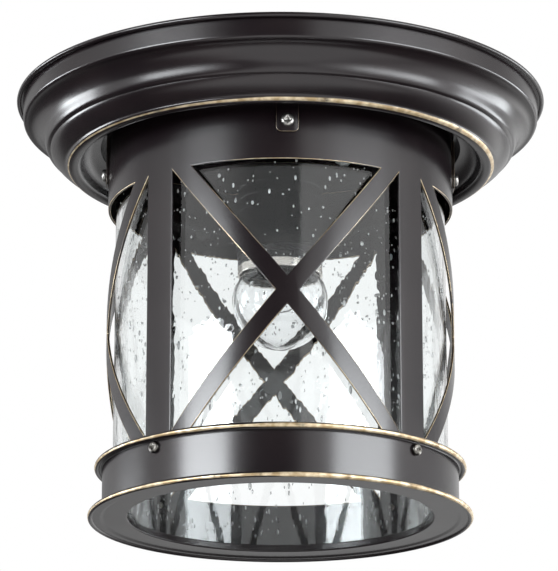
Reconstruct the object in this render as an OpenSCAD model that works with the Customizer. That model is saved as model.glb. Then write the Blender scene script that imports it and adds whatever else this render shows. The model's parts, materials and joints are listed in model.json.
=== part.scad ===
// Porch ceiling lantern. A pressed steel canopy lies against the ceiling, a pierced sheet-metal
// cage hangs from four tabs under it round a seeded glass cylinder, and a spool ring closes the foot.
// Millimetres. Origin: centre of the ceiling face. +Z is up, the lantern hangs to -Z, its front is -Y.

/* [Canopy] */
// Outside diameter of the rolled rim
canopy_d = 252; // [246:1:270]
// Thickness of the canopy sheet
canopy_t = 1; // [0.8:0.1:1.2]
// Diameter of the rolled bead at the rim
rim_bead = 2.2; // [1.8:0.2:2.8]
// How far the fascia stands inside the rim
fascia_step = 2.5; // [2.2:0.1:4]
// Height of the upright fascia under the bead
fascia_h = 9; // [7:0.5:12]
// Radial run of the large ogee
ogee_run = 12.8; // [11:0.2:14]
// Drop of the large ogee
ogee_drop = 12.4; // [11:0.2:14]
// Radial run of the second ring
ring_run = 7.8; // [7:0.2:9]
// Drop of the second ring
ring_drop = 7.6; // [6:0.2:9]
// Width of the rounded lip round the recess
lip_w = 6.9; // [6:0.1:7.5]
// Depth of the rounded lip
lip_drop = 2.2; // [1.8:0.1:2.6]
// Rise of the cove from the lip to the drum opening
cove_rise = 7.7; // [6:0.1:9]
// Gap between the cage collar and the recess wall
recess_gap = 3.9; // [3:0.1:5]
// Depth of the flat floor below the ceiling
floor_drop = 17.5; // [16.5:0.5:19]

/* [Ceiling fixing] */
// Width of the ceiling bracket
bracket_w = 20; // [16:1:26]
// Thickness of the ceiling bracket
bracket_t = 2; // [1.5:0.25:2.5]
// Drop of the bracket's stepped ends
bracket_step = 4; // [3.5:0.25:5]
// Distance between the centres of the ceiling slots
slot_spacing = 72; // [66:2:80]
// End-to-end length of each ceiling slot
slot_l = 16; // [12:1:20]
// Width of each ceiling slot
slot_w = 5; // [4:0.5:6]
// Distance between the two canopy studs
stud_spacing = 124; // [116:2:130]
// Diameter of the canopy studs
stud_d = 4; // [4:0.5:5]

/* [Cage] */
// Outside diameter of the cage sheet
cage_d = 163.4; // [156:0.2:166]
// Thickness of the cage sheet
cage_t = 1.2; // [0.8:0.1:1.5]
// Height from the ceiling down to the top of the windows
window_top = 54.2; // [50:0.2:60]
// Height of the windows
window_h = 123.8; // [100:0.2:150]
// Width of each upright post
post_w = 15.6; // [12:0.2:20]
// Width of each crossed brace
brace_w = 8.4; // [6:0.2:11]
// Width of each hanging tab
tab_w = 10.4; // [9:0.2:13]
// Thickness of each hanging tab
tab_t = 1.2; // [1:0.1:1.4]
// Length of each tab below the canopy floor
tab_drop = 24.2; // [22:0.2:28]
// Height of the cage screws above the end of a tab
tab_hole_up = 5.3; // [4.6:0.1:7]
// Thread diameter of the cage and ring screws
screw_d = 3; // [2.5:0.1:3.5]
// Head diameter of the cage and ring screws
screw_head_d = 6; // [5.4:0.1:6.6]

/* [Bottom ring] */
// Height of the band between the ring's two flanges
band_h = 20.6; // [17:0.2:26]
// Thickness of the ring sheet
ring_t = 1; // [0.8:0.1:1.2]
// Diameter of the top flange
ring_top_d = 173; // [171:0.5:178]
// Diameter of the bottom flange
ring_foot_d = 178.8; // [175:0.2:184]
// Thickness of the rolled edge on both flanges
ring_bead = 2.6; // [2.2:0.1:3]
// Diameter of the open mouth at the bottom
mouth_d = 141.8; // [134:0.2:146]
// Depth of the ring screws below the top of the ring
ring_screw_drop = 5.6; // [5.2:0.1:8]

/* [Glass] */
// Outside diameter of the glass cylinder
glass_d = 156; // [150:0.2:157]
// Thickness of the glass
glass_t = 3; // [2:0.2:4]
// Height from the ceiling down to the upper edge of the glass
glass_top = 41.8; // [41:0.1:50]
// Thickness of the silicone seat under the glass
seat_t = 1.5; // [1:0.1:2]

/* [Lampholder] */
// Outside diameter of the lampholder
holder_d = 40; // [38:0.5:44]
// Height from the ceiling down to the lampholder's top
holder_top = 25; // [24.5:0.5:27]
// Height from the ceiling down to the lampholder's mouth
holder_mouth = 86.2; // [83:0.2:89]
// Height of the metal skirt round the lampholder's mouth
skirt_h = 11; // [8:0.5:12]
// Thickness of the metal skirt
skirt_t = 0.6; // [0.5:0.1:1]
// Outside diameter of the hollow threaded nipple
nipple_d = 10; // [9:0.5:11]

/* [Bulb] */
// Diameter of the globe
globe_d = 45; // [40:1:50]
// Thickness of the bulb's glass
globe_t = 0.8; // [0.6:0.1:1.2]
// Overall length of the bulb
bulb_l = 72; // [68:0.5:82]
// Mean diameter of the rounded bulb thread
thread_mean_d = 25.36; // [25:0.02:25.8]
// Pitch of the bulb thread
thread_pitch = 3.629; // [3.5:0.001:3.7]

/* [Wiring] */
// Outside diameter of the insulated leads
lead_d = 2.2; // [1.8:0.1:2.4]
// Length of the terminal block across its three poles
block_l = 32; // [31:0.5:36]

/* [Hidden] */
$fn = 96;

// Clearances
slide_gap = 0.15;      // ring over the cage foot
film_gap = 0.05;       // tab over the collar, a thread in its hole
hole_gap = 0.2;        // screw in a plain hole
thread_gap = 0.35;     // bulb thread in the lampholder
tip_gap = 0.3;         // bulb tip under its spring contact
eps = 1;               // cutters run past the faces they cut

// Canopy levels and radii
fascia_r = canopy_d / 2 - fascia_step;
fascia_taper = 1;
edge_round = canopy_t + 0.1;
ogee_r = fascia_r - fascia_taper;
ogee_z = -(rim_bead + fascia_h);
ring_r = ogee_r - ogee_run;
ring_z = ogee_z - ogee_drop;
lip_r = ring_r - ring_run;
lip_z = ring_z - ring_drop;
cove_r = lip_r - lip_w;
recess_r = cage_d / 2 + recess_gap;
recess_z = lip_z + cove_rise;
floor_under = -floor_drop;
floor_top = floor_under + canopy_t;

// Sheet left beyond each canopy stud at the bracket's ends
stud_edge = 10;

// Cage levels
cage_r = cage_d / 2;
cage_in = cage_r - cage_t;
tab_bottom = floor_under - tab_drop;
tab_in = cage_r + film_gap;
tab_out = tab_in + tab_t;
washer_r = 4.6;
foot_gap = 0.4;
tab_foot_r = max(73, stud_spacing / 2 + washer_r + foot_gap);
rivet_r = (tab_foot_r + cage_in) / 2;
rivet_d = 3.2;
cage_screw_z = tab_bottom + tab_hole_up;
collar_top = floor_under - tab_t - 0.5;
window_bottom = window_top + window_h;
post_half = asin(post_w / 2 / cage_r);
post_angles = [45, 135, 225, 315];
side_angles = [270, 0, 90, 180];

// Bottom ring levels
ring_in = cage_r + slide_gap;
band_r = ring_in + ring_t;
ring_top_z = -(window_bottom + 0.4);
ring_foot_z = ring_top_z - ring_bead - band_h;
ring_end_z = ring_foot_z - ring_bead;
tray_top = ring_foot_z - 0.2;
ring_screw_z = ring_top_z - ring_screw_drop;
foot_band_end = tray_top + 1.6;

// Glass
glass_r = glass_d / 2;
glass_foot = tray_top + seat_t;

// Screw heads
head_h = 2;
nut_af = 5.5;
nut_h = 2.3;

// Lampholder levels
holder_r = holder_d / 2;
nipple_r = nipple_d / 2;
nipple_bore = nipple_r - 1.2;
nipple_end = -(holder_top + 5.5);
nipple_nut_af = 14;
nipple_nut_h = 3;
nipple_washer_t = 0.8;
nipple_top = floor_top + nipple_washer_t + nipple_nut_h + 3.2;
joint_z = -(holder_top + 19);
insert_top = nipple_end - 5.5;
insert_end = insert_top - 11;
insert_r = holder_r - 2.7;
mouth_z = -holder_mouth;
skirt_top = mouth_z + skirt_h;
spigot_r = holder_r - skirt_t - film_gap;
spigot_end = skirt_top - 3;
shell_end = skirt_top + 1.6;
shell_t = 0.4;
contact_depth = 2.5;

// Bulb levels, counted down from the tip under the lampholder's contact
cap_l = 26.5;
globe_r = globe_d / 2;
tip_top = insert_end - contact_depth;
tip_base = tip_top - 2;
thread_end = tip_top - 7;
cap_edge = tip_top - cap_l;
bulb_end = tip_top - bulb_l;
globe_z = bulb_end + globe_r;
thread_r = thread_mean_d / 2;
thread_amp = 0.5475;
neck_r = thread_r - thread_amp;
thread_sides = 20;
rings_per_turn = 6;

// Wiring places
block_y = 30;
block_w = 17;
block_h = 11;
pole_pitch = 10.5;
pole_x = [-pole_pitch, 0, pole_pitch];
pole_z = floor_top + 5.5;
fixing_z = floor_top + 3;
connector_r = 2.6;
connector_bore = 1.5;
fixing_x = [-pole_pitch / 2, pole_pitch / 2];
fixing_d = 3;
fixing_head_d = 3.6;
earth_x = 32;
earth_y = 24;
earth_z = floor_top + 2;
lug_t = 0.8;
lead_sides = 8;
lead_x = 5;
lead_depth = 4;
live_route = [
    [-pole_pitch, 26, pole_z], [-pole_pitch, 18, pole_z], [-9.4, 13, -9.4], [-7.4, 8, -7.2], [-4.6, 3.8, -6.4],
    [-2.5, 1.2, -7], [-1.9, 0, -9.4], [-1.9, 0, -14], [-1.9, 0, -20], [-1.9, 0, -26],
    [-1.9, 0, nipple_end], [-3.4, 0, nipple_end - 2], [-lead_x, 0, nipple_end - 4],
    [-lead_x, 0, insert_top], [-lead_x, 0, insert_top - lead_depth]
];
neutral_route = [
    [0, 26, pole_z], [0, 18, pole_z], [0.2, 13, -9.4], [0.8, 8, -7.2], [1.4, 3.8, -6.4],
    [1.8, 1.2, -7], [1.9, 0, -9.4], [1.9, 0, -14], [1.9, 0, -20], [1.9, 0, -26],
    [1.9, 0, nipple_end], [3.4, 0, nipple_end - 2], [lead_x, 0, nipple_end - 4],
    [lead_x, 0, insert_top], [lead_x, 0, insert_top - lead_depth]
];
earth_route = [
    [pole_pitch, 26, pole_z], [pole_pitch, 18, pole_z], [11.4, 13, -11.4], [14, 8.6, -12.2], [19, 5.8, -13],
    [25, 5, -13.8], [29.6, 6.6, earth_z], [31.6, 9.6, earth_z], [32, 13, earth_z], [32, 17.5, earth_z]
];

steel_dark = [0.16, 0.13, 0.13];
plated = [0.75, 0.75, 0.73];
phenolic = [0.05, 0.05, 0.055];
brass = [0.78, 0.62, 0.32];
clear_glass = [0.80, 0.88, 0.90, 0.35];

// ---- Shared shapes ----

function curve(a, b, c, d, n) = [for (i = [0:n]) let (t = i / n, s = 1 - t)
    s * s * s * a + 3 * s * s * t * b + 3 * s * t * t * c + t * t * t * d];
function arc(c, rx, ry, from, to, n) = [for (i = [0:n]) let (w = from + (to - from) * i / n)
    [c[0] + rx * cos(w), c[1] + ry * sin(w)]];
function unit(v) = v / norm(v);
function left(d) = [d[1], -d[0]];
function before(p, i) = left(unit(p[max(i, 1)] - p[max(i, 1) - 1]));
function after(p, i) = left(unit(p[min(i + 1, len(p) - 1)] - p[min(i, len(p) - 2)]));
function moved(p, i, t) = let (a = before(p, i), b = after(p, i)) p[i] + t * (a + b) / (1 + a * b);
// Closed section of a sheet of thickness t lying on the left of the open path p
function sheet(p, t) = let (n = len(p) - 1)
    concat([for (i = [0:n]) moved(p, i, t)], [for (i = [n:-1:0]) p[i]]);

module at(z) { translate([0, 0, z]) children(); }

module rod(r, from, to) { at(min(from, to)) cylinder(r = r, h = abs(to - from)); }

module tube(r_out, r_in, from, to) {
    difference() {
        rod(r_out, from, to);
        rod(r_in, min(from, to) - eps, max(from, to) + eps);
    }
}

// Ring sector centred on direction a, half_a to each side
module sector(r_out, r_in, from, to, a, half_a) {
    rotate([0, 0, a - half_a])
        rotate_extrude(angle = 2 * half_a)
            translate([r_in, min(from, to)]) square([r_out - r_in, abs(to - from)]);
}

// Turns a shape built along +Z so that it points outwards along direction a at height z
module radial(a, z) { rotate([0, 0, a]) at(z) rotate([0, 90, 0]) children(); }

module hex(af, h) { cylinder(r = af / 2 / cos(30), h = h, $fn = 6); }

module cross_recess(d, depth) {
    for (a = [0, 90]) rotate([0, 0, a])
        translate([-d / 2, -d / 10, -depth]) cube([d, d / 5, depth + eps]);
}

// Pan-head screw: head above z = 0, thread of length l below
module pan_screw(d, head_d, h, l) {
    difference() {
        union() {
            at(-l) cylinder(d = d, h = l + h / 2);
            rotate_extrude() polygon(concat([[0, 0], [head_d / 2, 0]],
                arc([head_d / 2 - h * 0.6, h * 0.4], h * 0.6, h * 0.6, 0, 90, 6), [[0, h]]));
        }
        at(h) cross_recess(head_d * 0.6, h * 0.5);
    }
}

// Solid swept along a route of points, with rings square to it
module sweep(route, r, sides) {
    n = len(route);
    dirs = [for (i = [0:n - 1]) unit(route[min(i + 1, n - 1)] - route[max(i - 1, 0)])];
    ref = [1, 0.02, 0.03];
    points = [for (i = [0:n - 1]) let (u = unit(cross(dirs[i], ref)), v = cross(dirs[i], u))
        for (k = [0:sides - 1]) route[i] + r * (u * cos(360 * k / sides) + v * sin(360 * k / sides))];
    walls = [for (i = [0:n - 2], k = [0:sides - 1]) let (j = (k + 1) % sides, a = i * sides, b = a + sides)
        each [[a + k, b + k, b + j], [a + k, b + j, a + j]]];
    caps = [[for (k = [0:sides - 1]) k], [for (k = [sides - 1:-1:0]) (n - 1) * sides + k]];
    polyhedron(points, concat(walls, caps));
}

// Rounded right-hand thread: a wave of the radius along the height. At both ends it fades to the
// root of the thread for rest = -1 and to its crest for rest = 1
function fade(z, from, to) = min(1, (z - from) / thread_pitch, (to - z) / thread_pitch);
function thread_level(z, a, mean, from, to, rest) =
    mean + thread_amp * (rest + fade(z, from, to) * (cos(360 * z / thread_pitch - a) - rest));
function thread_ring(z, mean, from, to, rest) = [for (k = [0:thread_sides - 1])
    let (a = 360 * k / thread_sides, r = thread_level(z, a, mean, from, to, rest))
    [r * cos(a), r * sin(a), z]];
function levels(from, to) = let (n = ceil((to - from) * rings_per_turn / thread_pitch))
    [for (i = [0:n]) from + (to - from) * i / n];
function skin(n, first, flip) = [for (i = [0:n - 2], k = [0:thread_sides - 1])
    let (j = (k + 1) % thread_sides, a = first + i * thread_sides, b = a + thread_sides)
    each (flip ? [[a + k, a + j, b + j], [a + k, b + j, b + k]]
               : [[a + k, b + k, b + j], [a + k, b + j, a + j]])];

module threaded_core(mean, from, to) {
    zs = levels(from, to);
    last = (len(zs) - 1) * thread_sides;
    polyhedron([for (z = zs) each thread_ring(z, mean, from, to, -1)], concat(skin(len(zs), 0, false),
        [[for (k = [0:thread_sides - 1]) k], [for (k = [thread_sides - 1:-1:0]) last + k]]));
}

module threaded_sleeve(mean, t, from, to) {
    zs = levels(from, to);
    shift = len(zs) * thread_sides;
    last = shift - thread_sides;
    points = [for (r = [mean + t, mean], z = zs) each thread_ring(z, r, from, to, 1)];
    ends = [for (k = [0:thread_sides - 1]) let (j = (k + 1) % thread_sides)
        each [[k, shift + j, shift + k], [k, j, shift + j],
              [last + k, shift + last + j, last + j], [last + k, shift + last + k, shift + last + j]]];
    polyhedron(points, concat(skin(len(zs), 0, false), skin(len(zs), shift, true), ends));
}

// ---- Ceiling fixing ----

module mounting_bracket() {
    end_x = stud_spacing / 2 + stud_edge;
    step_x = slot_spacing / 2 + slot_l / 2 + bracket_step + 4;
    flat_x = step_x - bracket_step;
    end_z = -bracket_step - bracket_t;
    color("lightgray") difference() {
        rotate([90, 0, 0]) at(-bracket_w / 2) linear_extrude(bracket_w) polygon(sheet([
            [end_x, end_z], [step_x, end_z], [flat_x, -bracket_t],
            [-flat_x, -bracket_t], [-step_x, end_z], [-end_x, end_z]], bracket_t));
        for (s = [-1, 1]) {
            translate([s * slot_spacing / 2, 0, 0]) {
                for (e = [-1, 1]) translate([e * (slot_l - slot_w) / 2, 0, 0])
                    rod(slot_w / 2, -bracket_t - eps, eps);
                translate([-(slot_l - slot_w) / 2, -slot_w / 2, -bracket_t - eps])
                    cube([slot_l - slot_w, slot_w, bracket_t + 2 * eps]);
            }
            translate([s * stud_spacing / 2, 0, 0]) rod(stud_d / 2 + film_gap, end_z - eps, eps);
        }
        rod(6, -bracket_t - eps, eps);
    }
}

module at_studs() { for (s = [-1, 1]) translate([s * stud_spacing / 2, 0, 0]) children(); }

stud_end = floor_under - 7;
stud_washer_t = 0.8;

module canopy_studs() {
    color("silver") at_studs() at(-bracket_step)
        pan_screw(stud_d, 7.6, bracket_step - 1.6, -stud_end - bracket_step);
}

module canopy_washers() {
    color("silver") at_studs()
        tube(washer_r, stud_d / 2 + hole_gap, floor_under, floor_under - stud_washer_t);
}

module canopy_nuts() {
    top = floor_under - stud_washer_t;
    dome_r = 3.4;
    dome_z = top - 4.6;
    color("silver") at_studs() difference() {
        union() {
            at(top - 3.2) hex(7, 3.2);
            rod(dome_r, top - 3.2, dome_z);
            at(dome_z) intersection() {
                sphere(r = dome_r);
                rod(dome_r + eps, -dome_r - eps, 0);
            }
        }
        rod(stud_d / 2 + film_gap, top + eps, stud_end - 0.3);
    }
}

// ---- Canopy ----

canopy_path = concat(
    [[canopy_d / 2 - rim_bead / 2, -(rim_bead + canopy_t) / 2], [fascia_r, -(rim_bead + canopy_t) / 2]],
    arc([ogee_r - edge_round, ogee_z + edge_round], edge_round, edge_round, 0, -80, 5),
    curve([ogee_r - edge_round - 0.4, ogee_z], [ogee_r - 0.42 * ogee_run, ogee_z - 0.3],
          [ogee_r - 0.58 * ogee_run, ogee_z - 0.2 * ogee_drop],
          [ogee_r - 0.68 * ogee_run, ogee_z - 0.52 * ogee_drop], 10),
    curve([ogee_r - 0.7 * ogee_run, ogee_z - 0.57 * ogee_drop],
          [ogee_r - 0.75 * ogee_run, ogee_z - 0.75 * ogee_drop],
          [ogee_r - 0.83 * ogee_run, ogee_z - 0.92 * ogee_drop],
          [ring_r + 0.5, ring_z + 0.15], 7),
    curve([ring_r, ring_z - 0.3], [ring_r - 0.4, ring_z - 0.3 * ring_drop],
          [ring_r - 0.5 * ring_run, ring_z - 0.7 * ring_drop], [lip_r + 0.4, lip_z + 0.5], 6),
    arc([lip_r - lip_w / 2, lip_z], lip_w / 2, lip_drop, 0, -180, 14),
    curve([cove_r - 0.1, lip_z + 1], [cove_r - 0.4, lip_z + 0.6 * cove_rise],
          [recess_r + 0.5 * (cove_r - recess_r), recess_z - 0.05 * cove_rise],
          [recess_r, recess_z], 8),
    [[recess_r, floor_under], [0, floor_under]]
);

module canopy() {
    bead_r = rim_bead / 2;
    color(steel_dark) difference() {
        rotate_extrude($fn = 180) {
            polygon(sheet(canopy_path, canopy_t));
            translate([canopy_d / 2 - bead_r, -bead_r]) circle(r = bead_r, $fn = 48);
        }
        rod(nipple_r + hole_gap, floor_under - eps, floor_top + eps);
        at_studs() rod(stud_d / 2 + hole_gap, floor_under - eps, floor_top + eps);
        for (a = side_angles) rotate([0, 0, a]) translate([rivet_r, 0, 0])
            rod(rivet_d / 2, floor_under - eps, floor_top + eps);
        for (x = fixing_x) translate([x, block_y, 0])
            rod(fixing_d / 2 + hole_gap, floor_under - eps, floor_top + eps);
        translate([earth_x, earth_y, 0]) rod(2 + hole_gap, floor_under - eps, floor_top + eps);
    }
}

module rim_gasket() {
    gasket_r = ogee_r - canopy_t - 0.1;
    color([0.1, 0.1, 0.1]) tube(gasket_r, gasket_r - 6, ogee_z + canopy_t + 0.1, 0);
}

// ---- Cage ----

// Flat outline of a hanging tab, rounded at its lower end
module tab_outline(h, r) {
    translate([-tab_w / 2, r]) square([tab_w, h - r]);
    translate([-tab_w / 2 + r, 0]) square([tab_w - 2 * r, h]);
    for (s = [-1, 1]) translate([s * (tab_w / 2 - r), r]) circle(r = r, $fn = 32);
}

module cage_tabs() {
    color(steel_dark) for (a = side_angles) rotate([0, 0, a]) difference() {
        union() {
            intersection() {
                tube(tab_out, tab_in, tab_bottom, floor_under);
                translate([tab_foot_r, 0, tab_bottom]) rotate([90, 0, 90])
                    linear_extrude(tab_out - tab_foot_r + eps) tab_outline(tab_drop, 2.4);
            }
            intersection() {
                rod(tab_in + tab_t / 2, floor_under - tab_t, floor_under);
                translate([tab_foot_r, -tab_w / 2, floor_under - tab_t])
                    cube([tab_out - tab_foot_r, tab_w, tab_t]);
            }
        }
        translate([rivet_r, 0, 0]) rod(rivet_d / 2, floor_under - tab_t - eps, floor_under + eps);
        at(cage_screw_z) rotate([0, 90, 0])
            rod(screw_d / 2 + hole_gap, tab_in - eps, tab_out + eps);
    }
}

module tab_rivets() {
    color(steel_dark) for (a = side_angles) rotate([0, 0, a]) translate([rivet_r, 0, 0]) {
        rod(rivet_d / 2, floor_under - tab_t, floor_top);
        rod(2.8, floor_top, floor_top + 1);
        at(floor_under - tab_t) rotate_extrude()
            polygon(concat([[0, 0]], arc([0, 0], 2.8, 1.1, 0, -90, 6)));
    }
}

module cage_collar() {
    color(steel_dark) difference() {
        tube(cage_r, cage_in, collar_top, -window_top, $fn = 180);
        for (a = side_angles) radial(a, cage_screw_z) rod(screw_d / 2 + hole_gap, cage_in - eps, cage_r + eps);
    }
}

module cage_screws() {
    color(plated) for (a = side_angles) radial(a, cage_screw_z)
        at(tab_out) pan_screw(screw_d, screw_head_d, head_h, 5.5);
}

module cage_nuts() {
    nut_out = sqrt(cage_in * cage_in - nut_af * nut_af / 3) - 0.05;
    color(plated) for (a = side_angles) radial(a, cage_screw_z) difference() {
        at(nut_out - nut_h) hex(nut_af, nut_h);
        rod(screw_d / 2 + film_gap, nut_out - nut_h - eps, nut_out + eps);
    }
}

module cage_posts() {
    color(steel_dark) for (a = post_angles)
        sector(cage_r, cage_in, -window_top, -window_bottom, a, post_half);
}

window_half = 45 - post_half;
window_w = 2 * window_half * PI / 180 * cage_r;
// Width of a brace measured along the window's top edge
brace_run = (sqrt(pow(brace_w, 4) * pow(window_w, 2) + (pow(window_h, 2) - pow(brace_w, 2))
    * pow(brace_w, 2) * (pow(window_w, 2) + pow(window_h, 2))) - pow(brace_w, 2) * window_w)
    / (pow(window_h, 2) - pow(brace_w, 2));
brace_angle = brace_run / cage_r * 180 / PI;

// Cutter for one brace: straight on the unrolled sheet, cut square through it
module brace_cutter(s) {
    steps = 14;
    over = 1 / steps;
    r_in = cage_in - 6;
    r_out = cage_r + 6;
    points = [for (i = [0:steps]) let (t = -over + (1 + 2 * over) * i / steps,
        a = s * (-window_half + t * (2 * window_half - brace_angle)), z = -window_top - t * window_h)
        for (q = [[r_in, a], [r_out, a], [r_out, a + s * brace_angle], [r_in, a + s * brace_angle]])
            [q[0] * cos(q[1]), q[0] * sin(q[1]), z]];
    walls = [for (i = [0:steps - 1], k = [0:3]) let (j = (k + 1) % 4, a = 4 * i, b = a + 4)
        each (s > 0 ? [[a + k, a + j, b + j], [a + k, b + j, b + k]]
                    : [[a + k, b + j, a + j], [a + k, b + k, b + j]])];
    caps = s > 0 ? [[3, 2, 1, 0], [for (k = [0:3]) 4 * steps + k]]
                 : [[0, 1, 2, 3], [for (k = [3:-1:0]) 4 * steps + k]];
    polyhedron(points, concat(walls, caps));
}

module cage_brace(a) {
    color(steel_dark) rotate([0, 0, a]) intersection() {
        sector(cage_r, cage_in, -window_top, -window_bottom, 0, window_half);
        union() {
            brace_cutter(1);
            brace_cutter(-1);
        }
    }
}

module cage_foot_band() {
    color(steel_dark) difference() {
        tube(cage_r, cage_in, -window_bottom, foot_band_end, $fn = 180);
        for (a = post_angles) radial(a, ring_screw_z) rod(screw_d / 2 + film_gap, cage_in - eps, cage_r + eps);
    }
}

// ---- Bottom ring ----

module bottom_ring() {
    bead_r = ring_bead / 2;
    curl_r = mouth_d / 2;
    color(steel_dark) difference() {
        rotate_extrude($fn = 180) {
            translate([ring_in, ring_end_z + bead_r]) square([ring_t, ring_top_z - ring_end_z - 2 * bead_r]);
            translate([ring_in, ring_top_z - bead_r - ring_t / 2])
                square([ring_top_d / 2 - ring_in - bead_r, ring_t]);
            translate([ring_top_d / 2 - bead_r, ring_top_z - bead_r]) circle(r = bead_r, $fn = 48);
            translate([ring_in, ring_end_z + bead_r - ring_t / 2])
                square([ring_foot_d / 2 - ring_in - bead_r, ring_t]);
            translate([ring_foot_d / 2 - bead_r, ring_end_z + bead_r]) circle(r = bead_r, $fn = 48);
            translate([curl_r, tray_top - ring_t]) square([ring_in - curl_r + ring_t, ring_t]);
            translate([curl_r, tray_top - ring_t]) square([ring_t, ring_t + seat_t + 1]);
        }
        for (a = post_angles) radial(a, ring_screw_z)
            rod(screw_d / 2 + hole_gap, ring_in - eps, band_r + eps);
    }
}

module ring_screws() {
    color(plated) for (a = post_angles) radial(a, ring_screw_z)
        at(band_r) pan_screw(screw_d, screw_head_d - 0.4, head_h, 3.6);
}

// ---- Glass ----

module seeded_glass() {
    color(clear_glass) tube(glass_r, glass_r - glass_t, -glass_top, glass_foot, $fn = 180);
}

module glass_seat() {
    color([0.85, 0.85, 0.83]) tube(cage_in - 0.6, mouth_d / 2 + ring_t + 0.2, tray_top, glass_foot, $fn = 180);
}

// ---- Lampholder ----

module holder_nipple() {
    color(plated) tube(nipple_r, nipple_bore, nipple_top, nipple_end);
}

module nipple_washer() {
    color(plated) tube(nipple_nut_af / 2 + 2, nipple_r + hole_gap, floor_top, floor_top + nipple_washer_t);
}

module nipple_nuts() {
    color(plated) for (z = [floor_top + nipple_washer_t, floor_under - nipple_nut_h]) difference() {
        at(z) hex(nipple_nut_af, nipple_nut_h);
        rod(nipple_r + film_gap, z - eps, z + nipple_nut_h + eps);
    }
}

cap_neck_h = 2.5;
cap_brow_h = 8;
cap_shoulder_h = 13;

module holder_cap() {
    top = -holder_top;
    color(phenolic) rotate_extrude() polygon(concat(
        [[nipple_r + film_gap, top], [nipple_r + 3.5, top], [nipple_r + 4, top - cap_neck_h]],
        curve([nipple_r + 5, top - 4], [holder_r - 5, top - 5], [holder_r, top - cap_brow_h],
              [holder_r, top - cap_shoulder_h], 8),
        [[holder_r, joint_z], [insert_r + 0.2, joint_z], [insert_r + 0.2, insert_top + 2],
         [insert_r - 3, nipple_end - 1.5], [nipple_r + 2.5, nipple_end], [nipple_r + film_gap, nipple_end]]));
}

module holder_barrel() {
    liner_r = thread_r + thread_gap + thread_amp + shell_t + 1.2;
    color(phenolic) rotate_extrude() polygon([
        [insert_r + 0.2, joint_z], [holder_r, joint_z], [holder_r, skirt_top], [spigot_r, skirt_top],
        [spigot_r, spigot_end], [spigot_r - 2, spigot_end], [liner_r, shell_end],
        [liner_r, insert_end], [insert_r + 0.2, insert_end]]);
}

module holder_skirt() {
    roll_r = 0.5;
    color(plated) rotate_extrude() polygon(concat(
        arc([holder_r - roll_r, mouth_z + roll_r], roll_r, roll_r, 150, 360, 14),
        [[holder_r, skirt_top], [holder_r - skirt_t, skirt_top], [holder_r - skirt_t, mouth_z + 2.4 * roll_r]]));
}

contact_x = 9;
contact_d = 3;
contact_head_d = 5.2;
contact_head_h = 1.8;

module holder_insert() {
    color([0.93, 0.92, 0.88]) difference() {
        rod(insert_r, insert_top, insert_end);
        for (s = [-1, 1]) translate([s * contact_x, 0, 0])
            rod(contact_d / 2 + film_gap, insert_top + eps, insert_end - eps);
        for (s = [-1, 1]) translate([s * lead_x, 0, 0])
            rod(lead_d / 2 + film_gap, insert_top + eps, insert_top - lead_depth);
    }
}

module contact_screws() {
    color(brass) for (s = [-1, 1]) translate([s * contact_x, 0, insert_top])
        pan_screw(contact_d, contact_head_d, contact_head_h, insert_top - insert_end - 0.5);
}

module screw_shell() {
    color(brass) threaded_sleeve(thread_r + thread_gap, shell_t, shell_end, insert_end);
}

module centre_contact() {
    low = tip_top + tip_gap;
    color(brass) rotate([90, 0, 0]) at(-2.5) linear_extrude(5) polygon(sheet([
        [4, low], [-0.5, low], [-4.5, insert_end - 0.5], [-11, insert_end - 0.5]], 0.5));
}

// ---- Wiring ----

module terminal_block() {
    color([0.92, 0.92, 0.9]) difference() {
        union() {
            translate([-block_l / 2, block_y - block_w / 2, floor_top])
                cube([block_l, block_w, fixing_z - floor_top]);
            for (x = pole_x) translate([x - 4, block_y - block_w / 2, floor_top])
                cube([8, block_w, block_h]);
        }
        for (x = pole_x) translate([x, block_y, pole_z]) {
            rotate([90, 0, 0]) rod(connector_r, -block_w / 2 - eps, block_w / 2 + eps);
            for (y = [-4, 4]) translate([0, y, 0]) rod(1.7, 0, block_h);
        }
        for (x = fixing_x) translate([x, block_y, 0]) {
            rod(fixing_d / 2 + hole_gap, floor_top - eps, fixing_z + eps);
            rod(fixing_head_d / 2 + hole_gap, fixing_z, floor_top + block_h + eps);
        }
    }
}

module block_connectors() {
    color(brass) for (x = pole_x) translate([x, block_y, pole_z]) difference() {
        rotate([90, 0, 0]) tube(connector_r, connector_bore, -block_w / 2 + 1, block_w / 2 - 1);
        for (y = [-4, 4]) translate([0, y, 0]) rod(1.25, 0, connector_r + eps);
    }
}

module block_screws() {
    color(plated) for (x = pole_x, y = [-4, 4]) translate([x, block_y + y, pole_z]) difference() {
        rod(1.2, lead_d / 2 + 0.1, 4.6);
        translate([-2, -0.2, 4]) cube([4, 0.4, 2]);
    }
}

module block_fixings() {
    color(plated) for (x = fixing_x) translate([x, block_y, fixing_z])
        pan_screw(fixing_d, fixing_head_d, 2, fixing_z - floor_under + nut_h + 0.9);
}

module block_nuts() {
    color(plated) for (x = fixing_x) translate([x, block_y, 0]) difference() {
        at(floor_under - nut_h) hex(nut_af, nut_h);
        rod(fixing_d / 2 + film_gap, floor_under - nut_h - eps, floor_under + eps);
    }
}

module live_lead() { color("saddlebrown") sweep(live_route, lead_d / 2, lead_sides); }

module neutral_lead() { color("steelblue") sweep(neutral_route, lead_d / 2, lead_sides); }

module earth_lead() { color("yellowgreen") sweep(earth_route, lead_d / 2, lead_sides); }

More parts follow.
